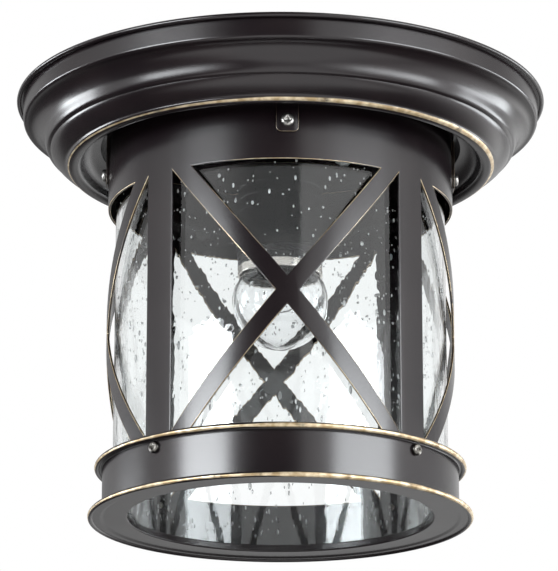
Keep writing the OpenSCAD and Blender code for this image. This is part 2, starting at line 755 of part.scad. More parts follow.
module earth_lug() {
    color(plated) difference() {
        union() {
            translate([earth_x, earth_y, 0]) rod(4.2, floor_top, floor_top + lug_t);
            translate([earth_x - 1.8, earth_y - 8, floor_top]) cube([3.6, 5, lug_t]);
            translate([earth_x, earth_y - 4.8, earth_z]) rotate([90, 0, 0]) cylinder(r = 1.9, h = 5);
        }
        translate([earth_x, earth_y, 0]) rod(2 + hole_gap, floor_top - eps, floor_top + lug_t + eps);
        translate([earth_x, earth_y - 3.8, earth_z]) rotate([90, 0, 0])
            cylinder(r = lead_d / 2 + film_gap, h = 7);
    }
}

module earth_screw() {
    color(plated) translate([earth_x, earth_y, floor_top + lug_t])
        pan_screw(4, 7.6, 2.4, lug_t + canopy_t + 4.4);
}

module earth_nut() {
    color(plated) translate([earth_x, earth_y, 0]) difference() {
        at(floor_under - 3.2) hex(7, 3.2);
        rod(2 + film_gap, floor_under - 3.2 - eps, floor_under + eps);
    }
}

// ---- Bulb ----

module bulb_cap() {
    color([0.82, 0.8, 0.74]) threaded_core(thread_r, cap_edge, thread_end);
}

insulator_r = 5;
tip_r = insulator_r - 0.4;

module bulb_insulator() {
    color([0.08, 0.08, 0.08]) at(thread_end) cylinder(r1 = neck_r, r2 = insulator_r, h = tip_base - thread_end);
}

module bulb_tip() {
    color(plated) rotate_extrude() polygon(concat([[0, tip_base], [tip_r, tip_base]],
        curve([tip_r, tip_base + 0.6], [tip_r - 0.2, tip_top - 0.4], [tip_r - 1.6, tip_top], [0, tip_top], 6)));
}

// Outside of the bulb's glass from the cap edge to the bottom of the globe
tangent_a = 52;
tangent_p = [globe_r * cos(tangent_a), globe_z + globe_r * sin(tangent_a)];
globe_path = concat(
    curve([neck_r, cap_edge], [neck_r, cap_edge - 4],
          tangent_p + 2 * [-sin(tangent_a), cos(tangent_a)], tangent_p, 8),
    arc([0, globe_z], globe_r, globe_r, tangent_a - 6, -90, 24));

module bulb_globe() {
    color(clear_glass) rotate_extrude() polygon(concat(globe_path,
        [for (i = [len(globe_path) - 1:-1:0]) [max(0, moved(globe_path, i, globe_t)[0]),
            i == len(globe_path) - 1 ? bulb_end + globe_t : moved(globe_path, i, globe_t)[1]]]));
}

stem_end = globe_z + 9;

module bulb_stem() {
    color(clear_glass) rotate_extrude() polygon(concat(
        [[0, cap_edge], [neck_r - globe_t, cap_edge]],
        curve([neck_r - globe_t, cap_edge - 0.8], [5, cap_edge - 2], [3, cap_edge - 4],
              [2.4, stem_end + 3], 6), [[1.8, stem_end], [0, stem_end]]));
}

support_x = 1.1;
filament_x = 8;

module bulb_supports() {
    color(plated) for (s = [-1, 1]) sweep([
        [s * support_x, 0, stem_end], [s * support_x, 0, stem_end - 2],
        [s * filament_x * 0.8, 0, globe_z + 1], [s * filament_x, 0, globe_z - 1]], 0.35, 6);
}

module bulb_filament() {
    steps = 12;
    color([0.5, 0.5, 0.5]) sweep([for (i = [0:steps]) let (t = i / steps)
        [filament_x * (2 * t - 1), 0, globe_z - 1.5 - 3 * sin(180 * t)]], 0.45, 6);
}

mounting_bracket();
canopy_studs();
canopy_washers();
canopy_nuts();
canopy();
rim_gasket();
cage_tabs();
tab_rivets();
cage_collar();
cage_screws();
cage_nuts();
cage_posts();
cage_brace(270);  // cage_brace_front
cage_brace(0);  // cage_brace_right
cage_brace(90);  // cage_brace_back
cage_brace(180);  // cage_brace_left
cage_foot_band();
bottom_ring();
ring_screws();
seeded_glass();
glass_seat();
holder_nipple();
nipple_washer();
nipple_nuts();
holder_cap();
holder_barrel();
holder_skirt();
holder_insert();
contact_screws();
screw_shell();
centre_contact();
terminal_block();
block_connectors();
block_screws();
block_fixings();
block_nuts();
live_lead();
neutral_lead();
earth_lead();
earth_lug();
earth_screw();
earth_nut();
bulb_cap();
bulb_insulator();
bulb_tip();
bulb_globe();
bulb_stem();
bulb_supports();
bulb_filament();
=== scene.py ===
import json
from math import asin, cos, hypot, pi, radians, sin, sqrt
from random import Random

import bmesh
import bpy
from mathutils import Matrix, Vector


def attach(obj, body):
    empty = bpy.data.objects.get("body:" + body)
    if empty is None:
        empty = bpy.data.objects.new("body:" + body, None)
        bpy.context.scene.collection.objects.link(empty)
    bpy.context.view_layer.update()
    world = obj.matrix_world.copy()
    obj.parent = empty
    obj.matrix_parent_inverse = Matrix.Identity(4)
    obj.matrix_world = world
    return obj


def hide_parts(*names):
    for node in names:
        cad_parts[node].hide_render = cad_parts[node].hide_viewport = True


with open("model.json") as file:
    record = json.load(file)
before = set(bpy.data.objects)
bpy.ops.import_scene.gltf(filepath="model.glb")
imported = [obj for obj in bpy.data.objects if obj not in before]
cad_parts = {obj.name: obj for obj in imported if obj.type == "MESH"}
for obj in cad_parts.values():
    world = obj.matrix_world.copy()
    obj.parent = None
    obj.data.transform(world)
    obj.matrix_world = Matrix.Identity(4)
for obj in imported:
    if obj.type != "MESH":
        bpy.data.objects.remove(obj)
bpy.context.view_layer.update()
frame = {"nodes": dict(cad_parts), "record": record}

scene = bpy.context.scene
scene.view_settings.view_transform = "Standard"

# ---- Camera ----
# The lantern is seen from a little below its foot, almost square on, through a long lens.
# Place and lens were fitted to the widths and heights of the rim, the lip and the bottom ring.
aim = Vector((-0.00066, 0.0, -0.090))
azimuth, elevation, reach = radians(-2.2), radians(-16.7), 1.69
back = Vector((sin(azimuth) * cos(elevation), -cos(azimuth) * cos(elevation), sin(elevation)))
camera = bpy.data.objects.new("camera", bpy.data.cameras.new("camera"))
camera.data.lens = 225.6
camera.data.clip_start = 0.05
camera.location = aim + reach * back
camera.rotation_euler = back.to_track_quat("Z", "Y").to_euler()
scene.collection.objects.link(camera)
scene.camera = camera

# ---- Canopy ----
# One pressed steel pan with a rolled rim, an ogee, a second ring and a rounded lip round the recess.
# Sprayed with a near-black satin bronze lacquer, then rubbed back to pale gold along its lip.


class Signal:
    """A socket that takes part in arithmetic: each operation adds a Math node."""

    def __init__(self, socket, tree):
        self.socket, self.tree = socket, tree

    def maths(self, operation, *values, clamped=False):
        return self.tree.node("ShaderNodeMath", {"operation": operation, "use_clamp": clamped},
                              dict(enumerate(values)))

    def __add__(self, other):
        return self.maths("ADD", self, other)

    def __sub__(self, other):
        return self.maths("SUBTRACT", self, other)

    def __rsub__(self, other):
        return self.maths("SUBTRACT", other, self)

    def __mul__(self, other):
        return self.maths("MULTIPLY", self, other)

    def __pow__(self, other):
        return self.maths("POWER", self, other)

    def __abs__(self):
        return self.maths("ABSOLUTE", self)

    __radd__ = __add__
    __rmul__ = __mul__

    def wave(self):
        return self.maths("SINE", self)

    def clamped(self):
        return self.maths("ADD", self, 0.0, clamped=True)

    def rise(self, low, high):
        """0 below low and 1 above high, or the other way round where high is the lower one."""
        return self.tree.node("ShaderNodeMapRange", {"interpolation_type": "SMOOTHSTEP"},
                              {"Value": self, "From Min": low, "From Max": high})


class Tree:
    """The nodes of a material or of the world."""

    def __init__(self, owner):
        owner.use_nodes = True
        self.nodes, self.links = owner.node_tree.nodes, owner.node_tree.links
        self.nodes.clear()

    def node(self, kind, settings=None, inputs=None, output=0):
        made = self.nodes.new(kind)
        for name, value in (settings or {}).items():
            setattr(made, name, value)
        for name, value in (inputs or {}).items():
            if isinstance(value, Signal):
                self.links.new(value.socket, made.inputs[name])
            else:
                made.inputs[name].default_value = value
        return Signal(made.outputs[output], self) if made.outputs else made

    def mix(self, factor, a, b):
        return self.node("ShaderNodeMix", {"data_type": "RGBA"}, {0: factor, 6: a, 7: b}, 2)


class Finish(Tree):
    """One material: its coordinates are the object's own, in metres."""

    def __init__(self, name):
        self.material = bpy.data.materials.new(name)
        super().__init__(self.material)
        self.place = self.node("ShaderNodeTexCoord", output="Object")
        split = self.node("ShaderNodeSeparateXYZ", inputs={0: self.place}).socket.node
        self.x, self.y, self.z = (Signal(split.outputs[i], self) for i in range(3))

    def radius(self):
        return (self.x * self.x + self.y * self.y) ** 0.5

    def stretched(self, x, y, z):
        return self.node("ShaderNodeMapping", inputs={"Vector": self.place, "Scale": (x, y, z)})

    def noise(self, scale, detail=2.0, rough=0.5, place=None):
        return self.node("ShaderNodeTexNoise", inputs={
            "Vector": place or self.place, "Scale": scale, "Detail": detail, "Roughness": rough})

    def bump(self, height, depth, strength=1.0):
        return self.node("ShaderNodeBump", inputs={"Height": height, "Distance": depth, "Strength": strength})

    def surface(self, **sockets):
        names = {"colour": "Base Color", "rough": "Roughness", "metal": "Metallic", "normal": "Normal",
                 "coat": "Coat Weight", "ior": "IOR", "clear": "Transmission Weight"}
        self.shader = self.node("ShaderNodeBsdfPrincipled", inputs={names[k]: v for k, v in sockets.items()})
        self.end = self.node("ShaderNodeOutputMaterial", inputs={"Surface": self.shader})
        return self


def bezier(a, b, c, d, count):
    points = []
    for i in range(count + 1):
        t = i / count
        s = 1 - t
        points.append(tuple(s ** 3 * a[k] + 3 * s * s * t * b[k] + 3 * s * t * t * c[k] + t ** 3 * d[k]
                            for k in (0, 1)))
    return points


def arc(centre, across, down, start, end, count):
    turns = [radians(start + (end - start) * i / count) for i in range(count + 1)]
    return [(centre[0] + across * cos(w), centre[1] + down * sin(w)) for w in turns]


def offset(path, t):
    """The path moved by t to its right as it is walked, as the other face of a sheet."""
    def right(a, b):
        length = hypot(b[0] - a[0], b[1] - a[1])
        return Vector(((b[1] - a[1]) / length, -(b[0] - a[0]) / length))

    moved = []
    last = len(path) - 1
    for i, p in enumerate(path):
        before = right(path[max(i, 1) - 1], path[max(i, 1)])
        after = right(path[min(i, last - 1)], path[min(i, last - 1) + 1])
        moved.append(tuple(Vector(p) + t * (before + after) / (1 + before.dot(after))))
    return moved


on_axis, long_run, inset = 0.001, 2.5, 0.25


def held(section):
    """Adds a point close to both ends of every long straight run, which keeps its smooth shading flat."""
    points = []
    for a, b in zip(section, section[1:] + section[:1]):
        points.append(a)
        run = Vector(b) - Vector(a)
        if run.length > long_run and max(a[0], b[0]) > on_axis:
            step = run * (inset / run.length)
            points += [tuple(Vector(a) + step), tuple(Vector(b) - step)]
    return points


def turned(section, steps=264):
    """A section of (radius, height) points in millimetres, spun once round the lantern's axis."""
    bm = bmesh.new()
    section = held(section)
    ring = [bm.verts.new((r, 0, z)) for r, z in section]
    edges = [bm.edges.new(pair) for pair in zip(ring, ring[1:])]
    if section[0][0] > on_axis:
        edges.append(bm.edges.new((ring[-1], ring[0])))
    bmesh.ops.spin(bm, geom=ring + edges, cent=(0, 0, 0), axis=(0, 0, 1), angle=2 * pi, steps=steps,
                   use_merge=True, use_duplicate=False)
    bmesh.ops.remove_doubles(bm, verts=bm.verts[:], dist=0.0005)
    loose = [e for e in bm.edges if not e.link_faces]
    bmesh.ops.delete(bm, geom=loose, context="EDGES")
    bmesh.ops.recalc_face_normals(bm, faces=bm.faces[:])
    return bm


home = {n: b for b, members in frame["record"]["behaviour"]["bodies"].items() for n in members}
millimetre = 0.001


def piece(name, bm, finish, *nodes, angle=32):
    """The finished mesh, in millimetres, becomes an object that stands for these nodes of the frame."""
    bmesh.ops.scale(bm, vec=(millimetre, millimetre, millimetre), verts=bm.verts[:])
    mesh = bpy.data.meshes.new(name)
    bm.to_mesh(mesh)
    bm.free()
    mesh.shade_smooth()
    mesh.set_sharp_from_angle(angle=radians(angle))
    mesh.materials.append(finish.material)
    made = bpy.data.objects.new(name, mesh)
    scene.collection.objects.link(made)
    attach(made, home[nodes[0]])
    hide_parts(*nodes)
    return made


bronze, warm_bronze = (0.0070, 0.0035, 0.0050, 1), (0.0120, 0.0070, 0.0082, 1)
bronze_fleck = (0.026, 0.019, 0.020, 1)
deep_gold, pale_gold = (0.46, 0.33, 0.18, 1), (0.82, 0.69, 0.48, 1)


def lacquer(name, gold_rub_and_glint):
    """Satin bronze lacquer. The mask argument is 1 where the crest was rubbed back to gold; on the cut edges
    of the cage and tabs the same gold also serves as a painted highlight.
    """
    f = Finish(name)
    cloud = f.noise(26, 3)
    spray = f.noise(900, 3, 0.7)
    fleck = f.noise(2600, 1).rise(0.62, 0.78)
    worn = f.noise(70, 4, 0.65)
    gold = (gold_rub_and_glint(f) * worn.rise(0.26, 0.44)).clamped()
    dark = f.mix(cloud.rise(0.35, 0.70), bronze, warm_bronze)
    dark = f.mix(fleck * 0.5, dark, bronze_fleck)
    pale = f.mix(f.noise(240, 3).rise(0.35, 0.7), deep_gold, pale_gold)
    return f.surface(colour=f.mix(gold, dark, pale), metal=gold * 0.5,
                     rough=(0.17 + 0.08 * cloud + 0.05 * spray + 0.12 * gold), ior=1.5,
                     normal=f.bump(spray, 0.00002, 0.5))


rim_r, bead_r, bead_foot, sheet_t = 126.0, 1.1, -1.6, 1.0
fascia_r, ogee_r, ring_r, lip_r, cove_r, recess_r = 123.0, 122.5, 109.7, 101.9, 95.0, 85.6
ogee_z, ring_z, lip_z, recess_z, floor_z = -11.2, -23.6, -31.2, -23.5, -17.5
foot_round, lip_round, lip_drop, recess_round = 1.5, 3.45, 2.2, 0.35
bead_in = rim_r - bead_r - sqrt(bead_r ** 2 - (bead_foot + bead_r) ** 2)

canopy_path = (
    [(bead_in, bead_foot), (fascia_r, bead_foot), (fascia_r - 0.12, -5.5)]
    + arc((fascia_r - 0.25 - foot_round, ogee_z + foot_round), foot_round, foot_round, 0, -80, 8)
    + bezier((ogee_r - 1.5, ogee_z), (ogee_r - 5.0, ogee_z - 0.25), (ogee_r - 7.2, ogee_z - 2.6),
             (ogee_r - 9.0, ogee_z - 6.0), 18)
    + bezier((ogee_r - 9.16, ogee_z - 6.3), (ogee_r - 10.2, ogee_z - 8.4), (ogee_r - 10.4, ogee_z - 11.2),
             (ogee_r - 11.5, ogee_z - 12.1), 16)
    + bezier((ring_r, ring_z - 0.3), (ring_r - 0.4, ring_z - 2.28), (ring_r - 3.9, ring_z - 5.32),
             (lip_r + 0.4, lip_z + 0.5), 12)
    + arc((lip_r - lip_round, lip_z), lip_round, lip_drop, 0, -180, 22)
    + bezier((cove_r - 0.1, lip_z + 1), (cove_r - 0.4, lip_z + 4.62), (recess_r + 4.7, recess_z - 0.385),
             (recess_r + 0.5, recess_z), 12)
    + arc((recess_r + 0.3, recess_z + recess_round), recess_round, recess_round, -90, -180, 4)
    + [(recess_r - 0.05, floor_z), (40, floor_z), (0, floor_z)]
)
bead = arc((rim_r - bead_r, -bead_r), bead_r, bead_r, 153, -153, 22)
canopy_section = [(0, floor_z)] + canopy_path[-2:0:-1] + bead[::-1] + offset(canopy_path, sheet_t)[1:]
lip_line_r, lip_line_z = 0.1010, 0.0315


def canopy_crests(f):
    """A line round the outer crest of the lip, widest at the right front."""
    width = 0.0002 + 0.0004 * f.noise(30, 3) + 0.0006 * (f.x - f.y).rise(-0.02, 0.16)
    outer = (0 - f.z).rise(lip_line_z - 0.0002, lip_line_z + 0.0002)
    return abs(f.radius() - lip_line_r).rise(width, width - 0.0003) * outer


piece("canopy_pan", turned(canopy_section), lacquer("bronze_canopy", canopy_crests), "canopy", angle=40)

# ---- Rim gasket ----
# A strip of closed-cell foam bent into a ring and stuck inside the fascia.
# It stands level with the rim and seals the pan against the ceiling.
foam = Finish("closed_cell_foam")
cells = foam.node("ShaderNodeTexVoronoi", inputs={"Vector": foam.place, "Scale": 900.0}, output="Distance")
foam.surface(colour=foam.mix(cells, (0.012, 0.012, 0.012, 1), (0.05, 0.05, 0.052, 1)),
             rough=0.8 + 0.15 * cells, normal=foam.bump(cells, 0.0003, 0.8))
gasket_in, gasket_out, gasket_foot, top_round, low_round = 115.4, 121.4, -10.1, 0.5, 0.4
gasket_section = [
    (gasket_in, -top_round), (gasket_in + top_round, 0), (gasket_out - top_round, 0),
    (gasket_out, -top_round), (gasket_out, gasket_foot + low_round), (gasket_out - low_round, gasket_foot),
    (gasket_in + low_round, gasket_foot), (gasket_in, gasket_foot + low_round)]
piece("foam_ring", turned(gasket_section, 180), foam, "rim_gasket")

# ---- Ceiling fixing ----
# A zinc-plated crossbar goes to the ceiling box, and two studs hang from it through the pan.
# A washer and a nickel acorn nut on each stud hold the pan up.


def dressed(name, finish, *nodes, angle=30):
    """A merged copy of the frame's own nodes, shaded smooth, with the finish on."""
    bm = bmesh.new()
    for node in nodes:
        bm.from_mesh(frame["nodes"][node].data)
    bmesh.ops.remove_doubles(bm, verts=bm.verts[:], dist=0.000001)
    bmesh.ops.dissolve_degenerate(bm, edges=bm.edges[:], dist=0.0000005)
    bmesh.ops.scale(bm, vec=(1 / millimetre, 1 / millimetre, 1 / millimetre), verts=bm.verts[:])
    piece(name, bm, finish, *nodes, angle=angle)


zinc = Finish("zinc_plate")
spangle = zinc.node("ShaderNodeTexVoronoi", inputs={"Vector": zinc.place, "Scale": 420.0}, output="Color")
haze = zinc.noise(150, 3)
zinc.surface(colour=zinc.mix(haze.rise(0.35, 0.7), (0.50, 0.51, 0.52, 1), (0.66, 0.67, 0.66, 1)), metal=1.0,
             rough=0.28 + 0.18 * haze + 0.06 * zinc.noise(1200, 2), normal=zinc.bump(spangle, 0.00003, 0.25))
nickel = Finish("bright_nickel")
wear = nickel.noise(500, 3)
nickel.surface(colour=nickel.mix(wear.rise(0.4, 0.7), (0.60, 0.58, 0.55, 1), (0.74, 0.72, 0.69, 1)),
               metal=1.0, rough=0.16 + 0.14 * wear, normal=nickel.bump(nickel.noise(3000, 2), 0.00001, 0.4))
for name, node in (("crossbar", "mounting_bracket"), ("fixing_studs", "canopy_studs"),
                   ("stud_washers", "canopy_washers")):
    dressed(name, zinc, node)
dressed("acorn_nuts", nickel, "canopy_nuts")

# ---- Cage ----
# Sheet steel pierced with four windows crossed by flat braces, rolled into a drum and seam welded.
# Same lacquer as the pan. The cut edges are eased, and the easing shows a thin line of gold. The line is
# partly lacquer rubbed through and partly a painted highlight where lamps catch the edges.
cage_r, cage_t, post_w, brace_w = 81.7, 1.2, 15.6, 8.4
cage_top, cage_foot, window_top, window_foot = -19.2, -200.2, -54.2, -178.0
post_half = asin(post_w / 2 / cage_r) * cage_r
edge_x = pi / 4 * cage_r
window_x = edge_x - post_half
window_w, window_h = 2 * window_x, window_top - window_foot
# The run along the window's top that makes a slanting brace brace_w wide across.
brace_run = (sqrt(brace_w ** 4 * window_w ** 2
                  + (window_h ** 2 - brace_w ** 2) * brace_w ** 2 * (window_w ** 2 + window_h ** 2))
             - brace_w ** 2 * window_w) / (window_h ** 2 - brace_w ** 2)
brace_slope = Vector((window_w - brace_run, 0, -window_h))


def cut(bm, point, normal):
    bmesh.ops.bisect_plane(bm, geom=bm.verts[:] + bm.edges[:] + bm.faces[:], dist=0.0001,
                           plane_co=point, plane_no=normal)


def in_brace(point, side):
    """True where a point of the flat sheet lies in the brace that starts at that side of the window's top."""
    start = point.x * side + window_x - (window_top - point.z) / window_h * brace_slope.x
    return 0 < start < brace_run


def across_sheet(edge):
    """How far the edge's two ends stand apart along the sheet's width."""
    return abs(edge.verts[0].co.x - edge.verts[1].co.x)


def corners_of(geometry):
    return [g for g in geometry if isinstance(g, bmesh.types.BMVert)]


def eased(bm, amount, square=1.0):
    """Rounds edges over square radians and marks each rounding's middle, where the lacquer rubs through and
    where a painted highlight runs along the edge.
    """
    rub_and_glint = bm.verts.layers.float.new("rub_and_glint")
    sharp = [e for e in bm.edges if len(e.link_faces) == 2 and e.calc_face_angle() > square]
    bmesh.ops.bevel(bm, geom=sharp, offset=amount, offset_type="OFFSET", affect="EDGES", segments=2,
                    profile=0.5, material=-1)
    narrow = {face for face in bm.faces if min(e.calc_length() for e in face.edges) < 0.9 * amount}
    for v in bm.verts:
        if all(face in narrow for face in v.link_faces):
            v[rub_and_glint] = 1.0


def rolled(bm, outer_r, outer_y):
    """Bends a flat front quarter round the axis. Its outer face, at outer_y, comes to outer_r."""
    for v in bm.verts:
        turn, r = v.co.x / outer_r, outer_r - (v.co.y - outer_y)
        v.co = Vector((r * sin(turn), -r * cos(turn), v.co.z))


def four_round(bm):
    """Copies the front quarter to the other three sides."""
    quarter = bm.verts[:] + bm.edges[:] + bm.faces[:]
    for _ in range(3):
        quarter = bmesh.ops.duplicate(bm, geom=quarter)["geom"]
        bmesh.ops.rotate(bm, cent=(0, 0, 0), matrix=Matrix.Rotation(pi / 2, 3, "Z"),
                         verts=corners_of(quarter))


panel = bmesh.new()
bmesh.ops.create_grid(panel, x_segments=1, y_segments=1, size=1)
for v in panel.verts:
    v.co = Vector((v.co.x * edge_x, 0, cage_top if v.co.y > 0 else cage_foot))
corner_x, half_run = window_x - brace_run, brace_run / 2
columns = ([half_run * i / 2 for i in range(3)]
           + [half_run + (corner_x - half_run) * i / 12 for i in range(1, 13)]
           + [corner_x + brace_run * i / 3 for i in range(1, 4)]
           + [window_x + post_half * i / 3 for i in (1, 2)])
for x in columns:
    for s in (-1, 1):
        cut(panel, (s * x, 0, 0), (1, 0, 0))
for z in (window_top, window_foot):
    cut(panel, (0, 0, z), (0, 0, 1))
for s in (-1, 1):
    for start in (0, brace_run):
        slope = Vector((s * brace_slope.x, 0, brace_slope.z))
        cut(panel, (s * (start - window_x), 0, window_top), slope.cross(Vector((0, 1, 0))))
holes = []
for face in panel.faces:
    p = face.calc_center_median()
    in_window = abs(p.x) < window_x and window_foot < p.z < window_top
    if in_window and not in_brace(p, 1) and not in_brace(p, -1):
        holes.append(face)
bmesh.ops.delete(panel, geom=holes, context="FACES")
bmesh.ops.remove_doubles(panel, verts=panel.verts[:], dist=0.01)
slanting = [e for e in panel.edges if len(e.link_faces) == 2 and across_sheet(e) > 0.01]
bmesh.ops.dissolve_edges(panel, edges=slanting, use_verts=True)
bmesh.ops.recalc_face_normals(panel, faces=panel.faces[:])
bmesh.ops.solidify(panel, geom=panel.faces[:], thickness=cage_t)
seam = [face for face in panel.faces if all(abs(abs(v.co.x) - edge_x) < 0.001 for v in face.verts)]
front_y = min(v.co.y for v in panel.verts)
bmesh.ops.delete(panel, geom=seam, context="FACES_ONLY")
eased(panel, 0.4)
rolled(panel, cage_r, front_y)
four_round(panel)
bmesh.ops.remove_doubles(panel, verts=panel.verts[:], dist=0.002)
bmesh.ops.recalc_face_normals(panel, faces=panel.faces[:])


# Gold along the cut edges: partly lacquer rubbed through, partly a painted highlight standing in for lamp
# light caught by the edges.
def edge_rub_and_glint(f):
    rub_and_glint = f.node("ShaderNodeAttribute", {"attribute_name": "rub_and_glint"}, output="Fac")
    return rub_and_glint.rise(0.3, 0.7) * f.noise(20, 2).rise(0.30, 0.50)


cage = piece("pierced_cage", panel, lacquer("bronze_cage", edge_rub_and_glint), "cage_collar", "cage_posts",
             "cage_brace_front", "cage_brace_right", "cage_brace_back", "cage_brace_left", "cage_foot_band",
             angle=36)
even = cage.modifiers.new("flat faces shade flat", "WEIGHTED_NORMAL")
even.keep_sharp = True

# ---- Hanging tabs ----
# Four bent straps with rounded ends, riveted up through the pan and screwed to the cage's collar.
# The screws are dull pewter pan heads with a cross recess, each with a hexagon nut inside the collar.
tab_in, tab_out, tab_foot, tab_end, tab_w = 81.75, 82.95, 73.0, -41.7, 10.4
tab_bend, tab_crease, tab_corner, tab_strips = 1.9, 0.7, 2.4, 8
strap_section = (
    [(tab_foot, floor_z)]
    + arc((tab_out - tab_bend, floor_z - tab_bend), tab_bend, tab_bend, 90, 0, 6)
    + [(tab_out, tab_end), (tab_in, tab_end)]
    + arc((tab_in - tab_crease, floor_z - tab_bend), tab_crease, tab_crease, 0, 90, 4)
    + [(tab_foot, floor_z - (tab_out - tab_in))]
)
tabs = bmesh.new()
side = tabs.faces.new([tabs.verts.new((-tab_w / 2, -r, z)) for r, z in strap_section])
grown = bmesh.ops.extrude_face_region(tabs, geom=[side])
bmesh.ops.translate(tabs, vec=(tab_w, 0, 0), verts=corners_of(grown["geom"]))
end_corners = [e for e in tabs.edges if across_sheet(e) < 0.01
               and all(abs(abs(v.co.x) - tab_w / 2) < 0.01 and abs(v.co.z - tab_end) < 0.01 for v in e.verts)]
bmesh.ops.bevel(tabs, geom=end_corners, offset=tab_corner, offset_type="OFFSET", affect="EDGES", segments=6,
                profile=0.5, material=-1)
bmesh.ops.recalc_face_normals(tabs, faces=tabs.faces[:])
eased(tabs, 0.3)
for i in range(1, tab_strips):
    cut(tabs, (tab_w * (i / tab_strips - 0.5), 0, 0), (1, 0, 0))
rolled(tabs, tab_out, -tab_out)
four_round(tabs)


# The tabs' edges get the same mix at less strength: rubbed gold and a painted glint.
def faint_edge_rub_and_glint(f):
    return 0.4 * edge_rub_and_glint(f)


def scuffed_heads(f):
    return f.noise(600, 2).rise(0.6, 0.7) * 0.3


piece("strap_tabs", tabs, lacquer("bronze_tabs", faint_edge_rub_and_glint), "cage_tabs", angle=36)
dressed("pan_rivets", lacquer("bronze_rivets", scuffed_heads), "tab_rivets")
pewter = Finish("dull_pewter")
grime = pewter.noise(900, 3)
pewter.surface(colour=pewter.mix(grime.rise(0.35, 0.7), (0.40, 0.39, 0.37, 1), (0.24, 0.23, 0.22, 1)),
               metal=1.0, rough=0.26 + 0.16 * grime, normal=pewter.bump(pewter.noise(2500, 2), 0.00002, 0.5))
for name, node in (("collar_screws", "cage_screws"), ("collar_nuts", "cage_nuts")):
    dressed(name, pewter, node)

# ---- Bottom ring ----
# A spun steel spool: a band between two flanges with rolled edges, and a tray that carries the glass.
# It slips over the cage's foot and takes four blackened screws. The rolled edges are rubbed to gold.
ring_in, band_r, mouth_r, tray_z, tray_t = 81.85, 82.85, 70.9, -201.8, 1.0
top_roll, foot_roll, roll_r = (85.2, -179.7), (88.1, -202.9), 1.3
curl_r, curl_rise, flange_round, band_fillet, fillet_drop = 0.5, 2.0, 0.7, 0.9, 1.4
ring_section = (
    [(mouth_r, tray_z - 0.6)]
    + arc((mouth_r + curl_r, tray_z + curl_rise), curl_r, curl_r, 180, 0, 8)
    + arc((mouth_r + 3 * curl_r, tray_z + curl_r), curl_r, curl_r, 180, 270, 4)
    + [(ring_in - 0.4, tray_z), (ring_in, tray_z + 0.4), (ring_in, top_roll[1] - 0.2)]
    + arc((ring_in + flange_round, top_roll[1] - 0.2), flange_round, flange_round, 180, 90, 5)
    + arc(top_roll, roll_r, roll_r, 157, -157, 24)
    + arc((band_r + band_fillet, top_roll[1] - fillet_drop), band_fillet, band_fillet, 90, 180, 6)
    + arc((band_r + band_fillet, foot_roll[1] + fillet_drop), band_fillet, band_fillet, 180, 270, 6)
    + arc(foot_roll, roll_r, roll_r, 157, -157, 24)
    + [(band_r + 0.6, foot_roll[1] - 0.5), (band_r - 0.6, tray_z - tray_t), (mouth_r + 0.6, tray_z - tray_t),
       (mouth_r + 0.18, tray_z - 0.83)]
)


def rolled_edges(f):
    """A thin line round the outermost height of both rolls, wider and narrower on its way."""
    wide = 0.0004 * f.noise(40, 3).rise(0.3, 0.7) + 0.0004 * (f.x - f.y).rise(0.03, 0.12)

    def line(roll, drop):
        from_line = abs(f.z - (roll[1] - drop) * millimetre)
        outermost = f.radius() - (roll[0] + 0.1) * millimetre
        return from_line.rise(0.0005 + wide, 0.0002 + wide) * outermost.rise(0.0, 0.0003)

    return line(top_roll, 0.4) + line(foot_roll, 0.3)


piece("spool_ring", turned(ring_section), lacquer("bronze_ring", rolled_edges), "bottom_ring", angle=40)
blackened = Finish("blackened_nickel")
scuff = blackened.noise(700, 3)
blackened.surface(
    colour=blackened.mix(scuff.rise(0.4, 0.7), (0.07, 0.065, 0.06, 1), (0.22, 0.21, 0.19, 1)), metal=1.0,
    rough=0.22 + 0.16 * scuff, normal=blackened.bump(blackened.noise(2500, 2), 0.00002, 0.5))
dressed("ring_fixings", blackened, "ring_screws")

# ---- Glass ----
# A drawn cylinder of clear soda glass, full of small seeds that stretched upright as it was drawn.
# Both ends are fire-polished. It stands in the ring's tray on a strip of silicone.
glass_r, glass_t, glass_top, glass_foot, fire_round = 78.0, 3.0, -41.8, -200.3, 0.9
seed_count, bubble_count, seed_wall, seedless_foot, seedless_top = 1700, 110, 1.3, 6, 5
mid_r = glass_r - glass_t / 2
shade = turned(arc((mid_r, glass_top - fire_round), glass_t / 2, fire_round, 180, 0, 8)
               + arc((mid_r, glass_foot + fire_round), glass_t / 2, fire_round, 0, -180, 8), 240)
ball = bmesh.new()
bmesh.ops.create_uvsphere(ball, u_segments=8, v_segments=6, radius=1)
bmesh.ops.reverse_faces(ball, faces=ball.faces[:])
ball_places = [v.co.copy() for v in ball.verts]
ball_faces = [[v.index for v in face.verts] for face in ball.faces]
ball.free()
dice = Random(11)
places, faces = [], []
for i in range(seed_count):
    width = 0.26 + 0.32 * dice.random() ** 1.8
    if i < bubble_count:
        width = 0.60 + 0.35 * dice.random()
    depth = min(width, 0.9)
    r = mid_r + dice.uniform(-1, 1) * (seed_wall - depth)
    z = dice.uniform(glass_foot + seedless_foot, glass_top - seedless_top)
    height = width * (1.1 + 1.1 * dice.random() ** 2 + 1.3 * max(0, -z / 100 - 1))
    stand = (Matrix.Rotation(dice.uniform(0, 2 * pi), 4, "Z") @ Matrix.Translation((r, 0, z))
             @ Matrix.Diagonal((depth, width, height, 1)))
    faces += [[len(places) + index for index in face] for face in ball_faces]
    places += [stand @ place for place in ball_places]
seeds = bpy.data.meshes.new("seeds")
seeds.from_pydata(places, [], faces)
wall = len(shade.verts)
shade.from_mesh(seeds)
